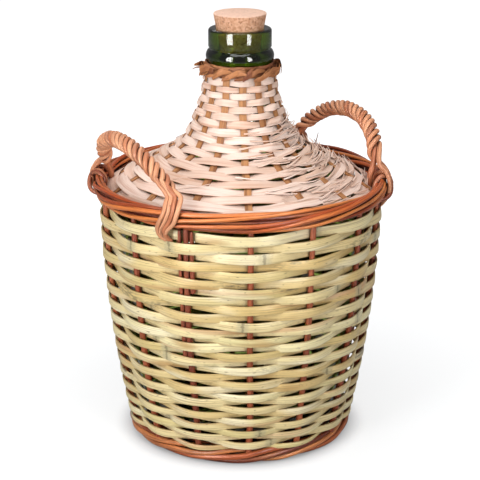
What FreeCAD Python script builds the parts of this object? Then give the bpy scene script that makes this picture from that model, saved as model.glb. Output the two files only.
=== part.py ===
import FreeCAD, Part
import itertools
import math
import os

# Wicker-covered glass demijohn with a cork stopper and two wrapped bow handles.
# Millimetres. The origin is at the bottom centre, +Z is up and the handles stand on the X axis.

os.makedirs("parts", exist_ok=True)

V = FreeCAD.Vector
UP = V(0, 0, 1)
ORIGIN = V(0, 0, 0)

# ---------------------------------------------------------------- driving sizes
clearance = 0.3                # air left between pieces that lie against each other
stake_count = 14               # uprights round the basket, an even number so that a row closes

# basket wall: a ring of round willow stakes with flat cane strips woven round them
wall_bottom_radius = 89.2      # radius of the ring of stakes just above the foot
wall_top_radius = 111.0        # radius of the ring of stakes under the rim
wall_top_z = 197.6
wall_bulge = 4.2               # how far the wall swells past a straight taper
wall_row_count = 30
wall_row_growth = 1.45         # height of the top row over that of the bottom row
stake_diameter = 5.0
stake_stand_out = 3.4          # length of stake above the top row
strip_thickness = 1.2
side_rod_diameter = 4.4        # extra rods beside the stakes at the handle roots
side_rod_lengths = (108.0, 48.0)

# foot: three rods wound round the bottom edge
foot_rod_diameter = 5.6
foot_flat = 0.5                # depth of the flat that the lowest rod stands on
foot_inset = 0.3               # lowest rod's ring inside the wall's bottom radius
foot_upper_step = 1.5          # the upper rod's ring outside the lowest one's

# base: crossed sticks with a thin woven mat on them
base_stick_diameter = 4.2
base_stick_count_x = 4         # sticks that run along X, and those along Y on top of them
base_stick_count_y = 3
base_stick_spacing = 30.0
base_stick_lift = 0.9          # air under the lower sticks
base_mat_thickness = 1.5

# rim: a border of rods laid outside and inside the stakes' ends
rim_outer_count = 3
rim_rod_diameter = 4.6
rim_outer_offset = 4.5         # outer rods' ring outside the stakes' ring
rim_gap_above_wall = 3.1       # lowest rim rod's underside above the top row
rim_nesting = 26.0             # degrees by which the inner rods nest between the outer ones

# cover over the shoulder and neck: flat splints with thin chip strips woven round them
cover_row_count = 17
cover_row_growth = 1.75        # width of the lowest row over that of the top row
cover_strip_thickness = 1.0
splint_width = 5.5
splint_thickness = 1.2
splint_steps = 12              # points that shape a splint's edge
cover_lift = 0.5               # extra room that lets a stiff splint pass a curved strip
cover_edge_room = 3.4          # cover's lower edge to the handle bows' legs
cover_edge_lift = 13.7         # cover's lower edge above the wall's top
shoulder_slope = 30.5          # degrees below the horizontal
# the cover's flare, as spread beyond its radius at the neck and drop below its top
cover_flare = ((1.8, 11.1), (6.2, 24.5), (11.3, 37.6), (18.1, 48.6), (26.6, 54.5))

# glass
neck_radius = 24.5
neck_flare = 1.4               # how much wider the neck is where the cover starts
neck_bend = 0.33               # share of the collar's height at which the flare starts
glass_wall = 3.5
glass_base_thickness = 5.0
punt_height = 6.0
punt_crown = 0.75              # share of the punt's height reached half way in
glass_heel_radius = 66.0       # ring that the glass stands on
glass_heel_height = 20.0
glass_cover_share = 0.7        # share of the cover's length that the glass lies close under
glass_shoulder_drop = 26.0     # where the shoulder's round ends, below the wall's top
glass_shoulder_round = (2.2, 9.1)  # a point on the round: in from the side, and below the wall's top
lip_radius = 25.0
lip_height = 14.6
lip_rounding = 2.0
groove_radius = 24.0
groove_slant = 1.4
neck_ring_radius = 27.0
neck_ring_height = 11.0
neck_length = 41.3             # from the cover's top to the mouth
seat_depth = 8.0               # length of the tapered mouth that grips the stopper

# cork stopper
cork_top_diameter = 42.0
cork_height = 30.0
cork_stand_out = 12.0          # height of cork above the glass lip
cork_taper = 10.4              # half angle, degrees
cork_edge = 1.0
cork_seat_clearance = 0.1

# neck collar: the plaited ends of the splints
collar_height = 12.5
collar_outer_radius = 34.6
collar_top_radius = 30.5
collar_belly = 0.45            # share of the height at which the collar is widest

# handles
bow_diameter = 4.5
wrap_diameter = 3.8
wrap_count = 4
wrap_turns = 5                 # whole turns between the two roots
wrap_fan = 0.28                # share of a quarter turn by which each rod leaves the bow after the last
bow_leg_y = 57.9
bow_leg_depth = 38.0           # length of leg tucked down inside the wall
bow_rise = 41.6                # top of the bow above its springing at the rim
bow_lean = 18.5                # how far the top of the bow stands outside its legs
root_first_lift = 6.4          # lowest wrap rod leaves the bow this far above the rim
root_spacing = 5.1             # wrap rods side by side over the rim
root_middles = (2.5, 1.2)      # place in the row of tails that stands opposite each leg
root_hug_angles = (80.0, 32.0) # where the tails bend over the rim's topmost outer rod
root_hug_lag = 27.0            # each higher tail comes down that much further out
root_air = 0.7                 # air between the tails and the rim
root_slide = 3.0               # how far the tails' ends lean to one side
root_drop = 9.0                # rod ends below the rim's underside

# ---------------------------------------------------------------- sizes that follow
stake_angle = 360.0 / stake_count
stake_radius = stake_diameter / 2
strip_swing = stake_radius + strip_thickness / 2 + clearance
wall_half = strip_swing + strip_thickness / 2

foot_rod_radius = foot_rod_diameter / 2
foot_low_z = foot_rod_radius - foot_flat
foot_high_z = foot_low_z + foot_rod_diameter + clearance
foot_low_ring = wall_bottom_radius - foot_inset
foot_high_ring = foot_low_ring + foot_upper_step
foot_inner_z = (foot_low_z + foot_high_z) / 2
foot_inner_ring = foot_low_ring - foot_rod_diameter
foot_top_z = foot_high_z + foot_rod_radius
wall_bottom_z = foot_top_z + clearance

base_stick_radius = base_stick_diameter / 2
base_low_z = base_stick_lift + base_stick_radius
base_high_z = base_low_z + base_stick_diameter + clearance
base_reach = foot_inner_ring - foot_rod_radius - clearance
base_mat_z = base_high_z + base_stick_radius + clearance
glass_bottom_z = base_mat_z + base_mat_thickness + clearance

rim_rod_radius = rim_rod_diameter / 2
rim_step = rim_rod_diameter + clearance
rim_outer_ring = wall_top_radius + rim_outer_offset
rim_bottom_z = wall_top_z + rim_gap_above_wall
rim_low_z = rim_bottom_z + rim_rod_radius
rim_inner_ring = rim_outer_ring - rim_step * math.cos(math.radians(rim_nesting))
rim_high_z = rim_low_z + (rim_outer_count - 1) * rim_step
rim_top_z = rim_high_z + rim_rod_radius

bow_radius = bow_diameter / 2
wrap_radius = wrap_diameter / 2
wrap_swing = bow_radius + wrap_radius + clearance
bow_inset = wall_half + clearance + bow_radius
glass_inset = bow_inset + bow_radius + clearance

splint_swing = splint_thickness / 2 + cover_strip_thickness / 2 + cover_lift
cover_half = splint_swing + cover_strip_thickness / 2
cover_glass_gap = cover_half + clearance

cork_slope = math.tan(math.radians(cork_taper))
cork_mouth_radius = cork_top_diameter / 2 - cork_stand_out * cork_slope
bore_radius = cork_mouth_radius - seat_depth * cork_slope + cork_seat_clearance


# ---------------------------------------------------------------- helpers
def save(node, solids):
    """Writes one node, a single solid or a group of separate solids."""
    shape = solids[0] if len(solids) == 1 else Part.makeCompound(solids)
    shape.exportStep("parts/" + node + ".step")


def around(radius, angle, height):
    """A point given by its radius, its angle in degrees and its height."""
    turn = math.radians(angle)
    return V(radius * math.cos(turn), radius * math.sin(turn), height)


def revolve(edges):
    """Turns a closed outline in the XZ plane once round the Z axis."""
    face = Part.Face(Part.Wire(Part.sortEdges(edges)[0]))
    solid = face.revolve(ORIGIN, UP, 360)
    if solid.Volume < 0:
        solid.reverse()
    return solid


def line(start, end):
    return Part.LineSegment(start, end).toShape()


def arc(start, middle, end):
    return Part.Arc(start, middle, end).toShape()


def spline_arc(start, middle, end):
    """An arc as a spline, for one whose centre lies past the axis that it is turned round."""
    edge = arc(start, middle, end)
    return edge.Curve.toBSpline(edge.FirstParameter, edge.LastParameter).toShape()


def ring_rod(ring_radius, height, rod_radius):
    return Part.makeTorus(ring_radius, rod_radius, V(0, 0, height), UP)


def pipe(edges, radius):
    """A round rod along tangent edges."""
    path = Part.Wire(edges)
    start = edges[0].Vertexes[0].Point
    heading = edges[0].tangentAt(edges[0].FirstParameter)
    section = Part.Wire(Part.Circle(start, heading, radius).toShape())
    return path.makePipeShell([section], True, False)


def path_tangents(points):
    """The heading at each point, taken from the circle through it and its neighbours."""
    headings = []
    last = len(points) - 1
    for index in range(last + 1):
        middle = min(max(index, 1), last - 1)
        before = points[middle] - points[middle - 1]
        after = points[middle + 1] - points[middle]
        here = before / before.Length ** 2 + after / after.Length ** 2
        here.normalize()
        if index == 0:
            chord = before / before.Length
            here = chord * (2 * chord.dot(here)) - here
        if index == last:
            chord = after / after.Length
            here = chord * (2 * chord.dot(here)) - here
        headings.append(here)
    return headings


def biarc(start, start_heading, end, end_heading):
    """Two tangent arcs, or straight lines, from one point and heading to the next."""
    chord = end - start
    both = start_heading + end_heading
    spread = 2 * (1 - start_heading.dot(end_heading))
    across = chord.dot(both)
    reach = chord.dot(chord)
    if spread < 1e-9:
        length = reach / (2 * across)
    else:
        length = (math.sqrt(across ** 2 + spread * reach) - across) / spread
    joint = (start + end + (start_heading - end_heading) * length) / 2
    edges = []
    for first, heading, second in ((start, start_heading, joint), (joint, end_heading * -1, end)):
        if first is joint:
            corner = end + heading * length
        else:
            corner = start + heading * length
        half = (second - first) / 2
        rise = corner - (first + half)
        if rise.Length < 1e-4:
            edges.append(line(first, second))
            continue
        turn = math.atan2(rise.Length, half.Length)
        crown = first + half + rise / rise.Length * (half.Length * math.tan(turn / 2))
        edges.append(arc(first, crown, second))
    return edges


def smooth_path(points, known_headings=()):
    """Tangent arcs through the points; headings known at some of them are given by index."""
    headings = path_tangents(points)
    for index, heading in known_headings:
        headings[index] = heading
    edges = []
    for index in range(len(points) - 1):
        edges += biarc(points[index], headings[index], points[index + 1], headings[index + 1])
    return edges


def spread_rows(length, count, growth):
    """Edges of rows that grow evenly, so that the last is growth times the first."""
    first = length / (count * (1 + growth) / 2)
    edges = [0.0]
    for index in range(count):
        edges.append(edges[-1] + first * (1 + (growth - 1) * index / (count - 1)))
    return edges


def woven_loop(radius, height, normal, offset, swing, first_side):
    """A closed wavy line that passes each stake on alternate sides.

    The line is one arc per stake. It lies offset from the surface through radius and height,
    whose normal is given as its radial and upward parts.
    """
    arcs = []
    for stake in range(stake_count):
        middle = stake_angle * (stake + 0.5)
        side = first_side if stake % 2 == 0 else -first_side
        at_stake = offset + side * swing
        crest = around(radius + at_stake * normal[0], middle, height + at_stake * normal[1])
        ends = []
        for half_step in (-0.5, 0.5):
            angle = middle + half_step * stake_angle
            ends.append(around(radius + offset * normal[0], angle, height + offset * normal[1]))
        if (crest - (ends[0] + ends[1]) / 2).Length < 0.01:
            arcs.append(line(ends[0], ends[1]))
        else:
            arcs.append(arc(ends[0], crest, ends[1]))
    return arcs


def woven_row(low, high, normal, swing, thickness, first_side):
    """One strip woven right round the stakes, between a lower and an upper edge."""
    loops = []
    for edge, offset in ((low, -1), (low, 1), (high, 1), (high, -1)):
        loops.append(woven_loop(edge[0], edge[1], normal, offset * thickness / 2, swing, first_side))
    faces = []
    for index in range(4):
        for one, other in zip(loops[index], loops[(index + 1) % 4]):
            faces.append(Part.makeRuledSurface(one, other))
    shell = Part.makeShell(faces)
    shell.sewShape()
    solid = Part.Solid(shell if shell.ShapeType == "Shell" else shell.Shells[0])
    if solid.Volume < 0:
        solid.reverse()
    return solid


# ---------------------------------------------------------------- wall line
wall_middle = V((wall_bottom_radius + wall_top_radius) / 2 + wall_bulge, 0, (wall_bottom_z + wall_top_z) / 2)
wall_arc = Part.Arc(V(wall_bottom_radius, 0, wall_bottom_z), wall_middle, V(wall_top_radius, 0, wall_top_z))
wall_centre = wall_arc.toShape().Curve.Center
wall_curve = wall_arc.toShape().Curve.Radius


def wall_radius(height, inset=0.0):
    """Radius of the stakes' ring at a height, or of a surface at an inset inside it."""
    curve = wall_curve - inset
    return wall_centre.x + math.sqrt(curve ** 2 - (height - wall_centre.z) ** 2)


def upright(angle, low_z, high_z, inset, rod_radius, sideways=0.0):
    """A rod that stands in the wall and follows its swelling line."""
    side = around(sideways, angle + 90, 0)
    points = []
    for height in (low_z, (low_z + high_z) / 2, high_z):
        points.append(around(wall_radius(height, inset), angle, height) + side)
    return pipe([arc(*points)], rod_radius)


# ---------------------------------------------------------------- cover line
bow_leg_radius = wall_radius(wall_top_z, bow_inset)
cover_edge_radius = bow_leg_radius - bow_radius - cover_edge_room
cover_edge_z = wall_top_z + cover_edge_lift
cover_top_radius = neck_radius + neck_flare + cover_glass_gap
shoulder_start_radius = cover_top_radius + cover_flare[-1][0]
shoulder_fall = (cover_edge_radius - shoulder_start_radius) * math.tan(math.radians(shoulder_slope))
cover_top_z = cover_edge_z + shoulder_fall + cover_flare[-1][1]
mouth_z = cover_top_z + neck_length

cover_points = [V(cover_top_radius, 0, cover_top_z)]
for spread, drop in cover_flare:
    cover_points.append(V(cover_top_radius + spread, 0, cover_top_z - drop))
cover_edge = V(cover_edge_radius, 0, cover_edge_z)
cover_points.append((cover_points[-1] + cover_edge) / 2)
cover_points.append(cover_edge)
cover_curve = Part.BSplineCurve()
cover_curve.interpolate(cover_points)
cover_line = cover_curve.toShape()


def cover_at(distance):
    """Point and outward normal on the cover's middle line, measured from the neck down."""
    place = cover_line.getParameterByLength(min(max(distance, 0.0), cover_line.Length))
    heading = cover_line.tangentAt(place)
    return cover_line.valueAt(place), V(-heading.z, 0, heading.x)


def cover_spline(offset):
    """The cover's middle line moved out along its normal."""
    points = []
    for step in range(splint_steps + 1):
        point, normal = cover_at(cover_line.Length * step / splint_steps)
        points.append(point + normal * offset)
    spline = Part.BSplineCurve()
    spline.interpolate(points)
    return spline.toShape()


# ---------------------------------------------------------------- glass and cork
outline_steps = 8


def body_outline(inset, neck_point, floor_z):
    """Outline from the neck down to the axis, set in from the glass's outside by inset."""
    points = [neck_point]
    for step in range(1, outline_steps + 1):
        point, normal = cover_at(cover_line.Length * glass_cover_share * step / outline_steps)
        points.append(point - normal * (cover_glass_gap + inset))
    side_inset = glass_inset + inset
    side_top = wall_top_z - glass_shoulder_drop
    side_top_radius = wall_radius(side_top, side_inset)
    round_in, round_drop = glass_shoulder_round
    points.append(V(side_top_radius - round_in, 0, wall_top_z - round_drop - inset))
    points.append(V(side_top_radius, 0, side_top))
    lean = V(wall_centre.z - side_top, 0, side_top_radius - wall_centre.x) * -1
    spline = Part.BSplineCurve()
    spline.interpolate(Points=points, InitialTangent=V(0, 0, -1), FinalTangent=lean)
    heel_top = floor_z + glass_heel_height
    side_middle = (side_top + heel_top) / 2
    heel_end = V(wall_radius(heel_top, side_inset), 0, heel_top)
    side = spline_arc(
        V(side_top_radius, 0, side_top),
        V(wall_radius(side_middle, side_inset), 0, side_middle),
        heel_end,
    )
    heel_start = V(glass_heel_radius, 0, floor_z)
    heel_corner = V(heel_end.x, 0, floor_z)
    heel_crown = (heel_start + heel_end + heel_corner * 2) / 4
    heel = arc(heel_end, heel_crown, heel_start)
    punt = spline_arc(
        heel_start,
        V(glass_heel_radius / 2, 0, floor_z + punt_height * punt_crown),
        V(0, 0, floor_z + punt_height),
    )
    return [spline.toShape(), side, heel, punt]


def glass_demijohn():
    """The bottle: a solid of its outer shape, less the hollow from the mouth down."""
    lip_bottom_z = mouth_z - lip_height
    groove_z = lip_bottom_z - groove_slant
    ring_bottom_z = groove_z - neck_ring_height
    neck_low_z = cover_top_z + collar_height * neck_bend
    seat_z = mouth_z - seat_depth
    lip_inner = cork_mouth_radius + cork_seat_clearance
    corner = lip_rounding * (1 - math.sqrt(0.5))
    neck_low = V(neck_radius, 0, neck_low_z)
    outside = [
        line(V(0, 0, mouth_z), V(lip_radius - lip_rounding, 0, mouth_z)),
        arc(
            V(lip_radius - lip_rounding, 0, mouth_z),
            V(lip_radius - corner, 0, mouth_z - corner),
            V(lip_radius, 0, mouth_z - lip_rounding),
        ),
        line(V(lip_radius, 0, mouth_z - lip_rounding), V(lip_radius, 0, lip_bottom_z)),
        line(V(lip_radius, 0, lip_bottom_z), V(groove_radius, 0, groove_z)),
        arc(
            V(groove_radius, 0, groove_z),
            V(neck_ring_radius, 0, (groove_z + ring_bottom_z) / 2),
            V(neck_radius, 0, ring_bottom_z),
        ),
        line(V(neck_radius, 0, ring_bottom_z), neck_low),
        line(V(0, 0, glass_bottom_z + punt_height), V(0, 0, mouth_z)),
    ]
    outside += body_outline(0.0, neck_low, glass_bottom_z)
    floor_z = glass_bottom_z + glass_base_thickness
    bore_low = V(bore_radius, 0, neck_low_z)
    inside = [
        line(V(0, 0, floor_z + punt_height), V(0, 0, mouth_z)),
        line(V(0, 0, mouth_z), V(lip_inner, 0, mouth_z)),
        line(V(lip_inner, 0, mouth_z), V(bore_radius, 0, seat_z)),
        line(V(bore_radius, 0, seat_z), bore_low),
    ]
    inside += body_outline(glass_wall, bore_low, floor_z)
    hollow = revolve(inside)
    print("litres held: %.2f" % (abs(hollow.Volume) / 1e6))
    return revolve(outside).cut(hollow)


def cork():
    """A tapered plug with its rims eased, gripped by the mouth's matching taper."""
    top = cork_top_diameter / 2
    bottom = top - cork_height * cork_slope
    low_z = mouth_z + cork_stand_out - cork_height
    body = Part.makeCone(bottom, top, cork_height, V(0, 0, low_z), UP)
    rims = [edge for edge in body.Edges if edge.Curve.TypeId == "Part::GeomCircle"]
    return body.makeChamfer(cork_edge, rims)


save("glass_demijohn", [glass_demijohn()])
save("cork_stopper", [cork()])

# ---------------------------------------------------------------- base and foot
base_sticks = []
for count, low_z, along, across in (
    (base_stick_count_x, base_low_z, V(1, 0, 0), V(0, 1, 0)),
    (base_stick_count_y, base_high_z, V(0, 1, 0), V(1, 0, 0)),
):
    for index in range(count):
        sideways = (index - (count - 1) / 2) * base_stick_spacing
        half = math.sqrt(base_reach ** 2 - (abs(sideways) + base_stick_radius) ** 2)
        start = across * sideways - along * half + V(0, 0, low_z)
        base_sticks.append(Part.makeCylinder(base_stick_radius, 2 * half, start, along))
mat = Part.makeCylinder(base_reach - clearance, base_mat_thickness, V(0, 0, base_mat_z), UP)
save("base_sticks_and_mat", base_sticks + [mat])

reach = foot_high_ring + foot_rod_diameter
ground = Part.makeBox(2 * reach, 2 * reach, foot_rod_diameter, V(-reach, -reach, -foot_rod_diameter))
foot_rods = [
    ring_rod(foot_low_ring, foot_low_z, foot_rod_radius).cut(ground),
    ring_rod(foot_high_ring, foot_high_z, foot_rod_radius),
    ring_rod(foot_inner_ring, foot_inner_z, foot_rod_radius),
]
save("foot_rods", foot_rods)

# ---------------------------------------------------------------- wall
stake_top_z = wall_top_z + stake_stand_out
uprights = []
for stake in range(stake_count):
    angle = stake_angle * (stake + 0.5)
    uprights.append(upright(angle, wall_bottom_z, stake_top_z, 0.0, stake_radius))
save("wall_stakes", uprights)

root_angle = stake_angle * 1.5
side_rod_radius = side_rod_diameter / 2
side_rod_step = stake_radius + side_rod_radius + clearance
side_rods = []
for handle_angle in (0, 180):
    for side in (-1, 1):
        for toward, length in zip((-side, side), side_rod_lengths):
            angle = handle_angle + side * root_angle
            rod = upright(angle, wall_top_z - length, wall_top_z, 0.0, side_rod_radius, toward * side_rod_step)
            side_rods.append(rod)
save("handle_root_side_rods", side_rods)

wall_edges = spread_rows(wall_top_z - wall_bottom_z, wall_row_count, wall_row_growth)
for row in range(wall_row_count):
    low_z = wall_bottom_z + wall_edges[row]
    high_z = wall_bottom_z + wall_edges[row + 1] - clearance
    side = 1 if row % 2 == 0 else -1
    strip = woven_row(
        (wall_radius(low_z), low_z), (wall_radius(high_z), high_z), (1.0, 0.0), strip_swing, strip_thickness, side
    )
    save("wall_strip_%02d" % (row + 1), [strip])

# ---------------------------------------------------------------- rim
rim_rods = []
for index in range(rim_outer_count):
    rim_rods.append(ring_rod(rim_outer_ring, rim_low_z + index * rim_step, rim_rod_radius))
for index in range(rim_outer_count - 1):
    rim_rods.append(ring_rod(rim_inner_ring, rim_low_z + (index + 0.5) * rim_step, rim_rod_radius))
save("rim_rods", rim_rods)

# ---------------------------------------------------------------- shoulder and neck cover
inner_line = cover_spline(-splint_thickness / 2)
outer_line = cover_spline(splint_thickness / 2)
band = [
    inner_line,
    outer_line,
    line(inner_line.valueAt(inner_line.FirstParameter), outer_line.valueAt(outer_line.FirstParameter)),
    line(inner_line.valueAt(inner_line.LastParameter), outer_line.valueAt(outer_line.LastParameter)),
]
band_face = Part.Face(Part.Wire(Part.sortEdges(band)[0]))
band_face.translate(V(0, -splint_width / 2, 0))
splint = band_face.extrude(V(0, splint_width, 0))
splints = []
for index in range(stake_count):
    splints.append(splint.rotated(ORIGIN, UP, stake_angle * (index + 0.5)))
save("shoulder_splints", splints)

cover_edges = spread_rows(cover_line.Length, cover_row_count, cover_row_growth)
for row in range(cover_row_count):
    high_point, high_normal = cover_at(cover_edges[row])
    low_point, low_normal = cover_at(cover_edges[row + 1] - clearance)
    normal = high_normal + low_normal
    normal.normalize()
    side = 1 if row % 2 == 0 else -1
    strip = woven_row(
        (low_point.x, low_point.z),
        (high_point.x, high_point.z),
        (normal.x, normal.z),
        splint_swing,
        cover_strip_thickness,
        side,
    )
    save("cover_strip_%02d" % (row + 1), [strip])

collar_bottom_z = cover_top_z + 2 * clearance
collar_top_z = collar_bottom_z + collar_height
collar_inner = neck_radius + neck_flare + clearance
collar = [
    line(V(collar_inner, 0, collar_bottom_z), V(collar_top_radius, 0, collar_bottom_z)),
    arc(
        V(collar_top_radius, 0, collar_bottom_z),
        V(collar_outer_radius, 0, collar_bottom_z + collar_height * collar_belly),
        V(collar_top_radius, 0, collar_top_z),
    ),
    line(V(collar_top_radius, 0, collar_top_z), V(collar_inner, 0, collar_top_z)),
    line(V(collar_inner, 0, collar_top_z), V(collar_inner, 0, collar_bottom_z)),
]
save("neck_collar", [revolve(collar)])

# ---------------------------------------------------------------- handles
bow_spring_z = rim_top_z + clearance
bow_leg_x = math.sqrt(bow_leg_radius ** 2 - bow_leg_y ** 2)
bow_leg_angle = math.degrees(math.atan2(bow_leg_y, bow_leg_x))
arch_steps = 8
bow_leg_points = 3


def arch_point(turn):
    """A point on the bow above the rim, for a turn of 0 to 180 degrees from leg to leg."""
    rise = math.sin(math.radians(turn))
    return V(bow_leg_x + bow_lean * rise, -bow_leg_y * math.cos(math.radians(turn)), bow_spring_z + bow_rise * rise)


def bow_points():
    """The bow's centre line on the +X side, from one tucked leg over to the other."""
    leg = []
    for height in (wall_top_z - bow_leg_depth, wall_top_z - bow_leg_depth / 2, wall_top_z):
        leg.append(around(wall_radius(height, bow_inset), -bow_leg_angle, height))
    arch = [arch_point(180 * step / arch_steps) for step in range(arch_steps + 1)]
    other_leg = [V(point.x, -point.y, point.z) for point in reversed(leg)]
    return leg + arch + other_leg


def bow_frames(points, steps):
    """Evenly spaced places along the bow above the rim, each with a heading and a steady side."""
    edges = smooth_path(points)
    leg_edges = 2 * bow_leg_points
    arch = Part.Wire(edges[leg_edges:len(edges) - leg_edges])
    places = arch.discretize(Number=steps + 1)
    frames = []
    outward = V(math.cos(math.radians(-bow_leg_angle)), math.sin(math.radians(-bow_leg_angle)), 0)
    for index, place in enumerate(places):
        before = places[max(index - 1, 0)]
        after = places[min(index + 1, steps)]
        heading = after - before
        heading.normalize()
        outward = outward - heading * outward.dot(heading)
        outward.normalize()
        frames.append((place, heading, outward))
    return frames, arch.Length


bow_line = bow_points()
frame_steps = 400
heading_step = 0.5
gap_step = 1.0
frames, arch_length = bow_frames(bow_line, frame_steps)


def frame_at(distance):
    """Place, heading and steady side on the bow at a distance along its arch."""
    position = min(max(distance / arch_length * frame_steps, 0.0), frame_steps - 1e-6)
    index = int(position)
    share = position - index
    mixed = []
    for one, other in zip(frames[index], frames[index + 1]):
        mixed.append(one * (1 - share) + other * share)
    return mixed


def distance_at_height(height):
    """Distance along the arch at which its first leg reaches a height."""
    for index, frame in enumerate(frames):
        if frame[0].z >= height:
            return arch_length * index / frame_steps
    return arch_length / 2


root_first_z = rim_top_z + root_first_lift
root_start = distance_at_height(root_first_z)
root_end = arch_length - root_start
end_place, end_heading, end_side = frame_at(root_end)
end_outward = V(end_place.x, end_place.y, 0)
end_outward = end_outward - end_heading * end_outward.dot(end_heading)
end_outward.normalize()
end_turn = math.atan2(end_heading.cross(end_side).dot(end_outward), end_side.dot(end_outward))
fan_turns = (wrap_count - 1) / wrap_count * (1 - 2 * wrap_fan)
wrap_lead = (root_end - root_start) / (wrap_turns + fan_turns + end_turn / (2 * math.pi))


def wrap_point(distance, start, start_turn):
    """A point on a wrap rod that has turned by start_turn from the bow's outer side at start."""
    place, heading, side = frame_at(distance)
    turn = 2 * math.pi * (distance - start) / wrap_lead + start_turn
    across = heading.cross(side)
    return place + side * (wrap_swing * math.cos(turn)) + across * (wrap_swing * math.sin(turn))


def root_points(leg_angle, index, middle):
    """The tail of a wrap rod, from the bow over the outside of the rim to its tucked end."""
    hug = rim_rod_radius + wrap_radius + root_air
    tucked = wall_radius(wall_top_z) + wall_half + wrap_radius + clearance
    along = (index - middle) * root_spacing
    points = []
    for angle in root_hug_angles:
        turn = math.radians(angle - index * root_hug_lag)
        over = max(turn, 0.0)
        down = min(turn, 0.0)
        points.append((along, rim_outer_ring + hug * math.cos(over), rim_high_z + hug * (math.sin(over) + down)))
    points.append((along, rim_outer_ring + hug, rim_low_z))
    points.append((along - root_slide, tucked, rim_bottom_z - root_drop))
    placed = []
    for sideways, radius, height in points:
        angle = leg_angle - math.degrees(sideways / rim_outer_ring)
        placed.append(around(radius, angle, height))
    return placed


def wrap_rod_path(index):
    """One wrap rod: a tail over the rim, the turns round the bow and the tail at the other root."""
    quarter = wrap_lead / 4
    other = wrap_count - 1 - index
    start = root_start + index * quarter * (1 - wrap_fan)
    finish = root_end - other * quarter * (1 - wrap_fan)
    start_turn = other * wrap_fan * math.pi / 2
    quarters = int(round((finish - start) / quarter))
    first_tail = list(reversed(root_points(-bow_leg_angle, index, root_middles[0])))
    turns = []
    headings = []
    for step in range(quarters + 1):
        distance = start + (finish - start) * step / quarters
        before = wrap_point(distance - heading_step, start, start_turn)
        after = wrap_point(distance + heading_step, start, start_turn)
        heading = after - before
        heading.normalize()
        headings.append((len(first_tail) + step, heading))
        turns.append(wrap_point(distance, start, start_turn))
    last_tail = root_points(bow_leg_angle, other, root_middles[1])
    return smooth_path(first_tail + turns + last_tail, headings)


def least_gap(paths, radius):
    """Least air between the rods that follow the paths, measured between points along them."""
    nearest = math.inf
    tracks = [path.discretize(Distance=gap_step) for path in paths]
    for one, other in itertools.combinations(tracks, 2):
        for point in one:
            nearest = min(nearest, min((point - place).Length for place in other))
    return nearest - 2 * radius


wrap_paths = [wrap_rod_path(index) for index in range(wrap_count)]
print("least gap in the handle wrap: %.2f mm" % least_gap([Part.Wire(path) for path in wrap_paths], wrap_radius))
bow = pipe(smooth_path(bow_line), bow_radius)
wraps = [pipe(path, wrap_radius) for path in wrap_paths]
for name, turn in (("right", 0), ("left", 180)):
    save("handle_bow_" + name, [bow.rotated(ORIGIN, UP, turn)])
    save("handle_wrap_" + name, [rod.rotated(ORIGIN, UP, turn) for rod in wraps])
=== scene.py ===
# %% [markdown]
# # A glass demijohn in a wicker basket
# A demijohn is a wide wine bottle. This one sits in a basket of willow rods and split cane, with a woven
# cover of chip strips over its shoulder and two rope-like handles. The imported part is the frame: its solids
# give places and sizes, and each piece made below replaces a node. Only the cover's frayed fibres are extra.

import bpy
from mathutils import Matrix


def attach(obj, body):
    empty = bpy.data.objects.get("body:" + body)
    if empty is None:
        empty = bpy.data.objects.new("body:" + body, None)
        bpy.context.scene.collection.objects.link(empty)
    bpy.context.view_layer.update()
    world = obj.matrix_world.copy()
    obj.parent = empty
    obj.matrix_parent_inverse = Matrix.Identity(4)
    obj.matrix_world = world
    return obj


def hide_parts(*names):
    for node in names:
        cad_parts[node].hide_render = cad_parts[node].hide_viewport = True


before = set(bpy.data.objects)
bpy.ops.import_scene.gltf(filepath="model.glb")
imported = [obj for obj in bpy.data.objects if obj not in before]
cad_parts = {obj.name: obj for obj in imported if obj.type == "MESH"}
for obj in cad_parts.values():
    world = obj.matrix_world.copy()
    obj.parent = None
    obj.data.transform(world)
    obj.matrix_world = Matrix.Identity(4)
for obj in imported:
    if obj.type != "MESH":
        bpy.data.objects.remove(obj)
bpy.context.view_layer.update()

# %% [markdown]
# Every point below is in millimetres, as a basket maker would think, and is scaled to metres once, when a
# mesh is finished. The basket's fourteen stakes lead all the weaving. Handwork is never even, so smooth
# noise with fixed seeds shifts things a little.

# %% Units and the stakes' places
import math
import random

import bmesh
import bpy
from mathutils import Matrix, Vector, noise
from mathutils.geometry import interpolate_bezier

scene = bpy.context.scene
to_metres = Matrix.Diagonal((0.001, 0.001, 0.001, 1.0))
full_turn = 2 * math.pi
stake_count = 14
stake_angle = full_turn / stake_count
first_stake = stake_angle / 2
print(stake_count, "stakes, %.1f degrees apart" % math.degrees(stake_angle))


def stake_turn(index):
    """The angle of a stake, or of a place between two of them."""
    return first_stake + stake_angle * index


def ring_point(radius, angle, height):
    """A point at a radius, an angle in radians and a height."""
    return Vector((radius * math.cos(angle), radius * math.sin(angle), height))


def wander(place, seed, reach):
    """A smooth random value from about -reach to reach that changes with the place."""
    return noise.noise(Vector((place, seed * 7.31, seed * 1.77))) * 1.6 * reach


# %% [markdown]
# Bent rods and curved walls are both drawn from a few points. Each point gets a heading from its neighbours,
# and Bezier pieces join them, as a flexible rod does when it is held at those points.

# %% Smooth lines through points
def smooth_line(points, pieces=8):
    """More points on a smooth line through the given ones."""
    last = len(points) - 1
    line = []
    for index in range(last):
        start, end = points[index], points[index + 1]
        before, after = points[max(index - 1, 0)], points[min(index + 2, last)]
        reach = (end - start).length / 3
        leave = start + (end - before).normalized() * reach
        arrive = end - (after - start).normalized() * reach
        part = interpolate_bezier(start, leave, arrive, end, pieces + 1)
        line += part if index == last - 1 else part[:-1]
    return [Vector(point) for point in line]


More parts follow.
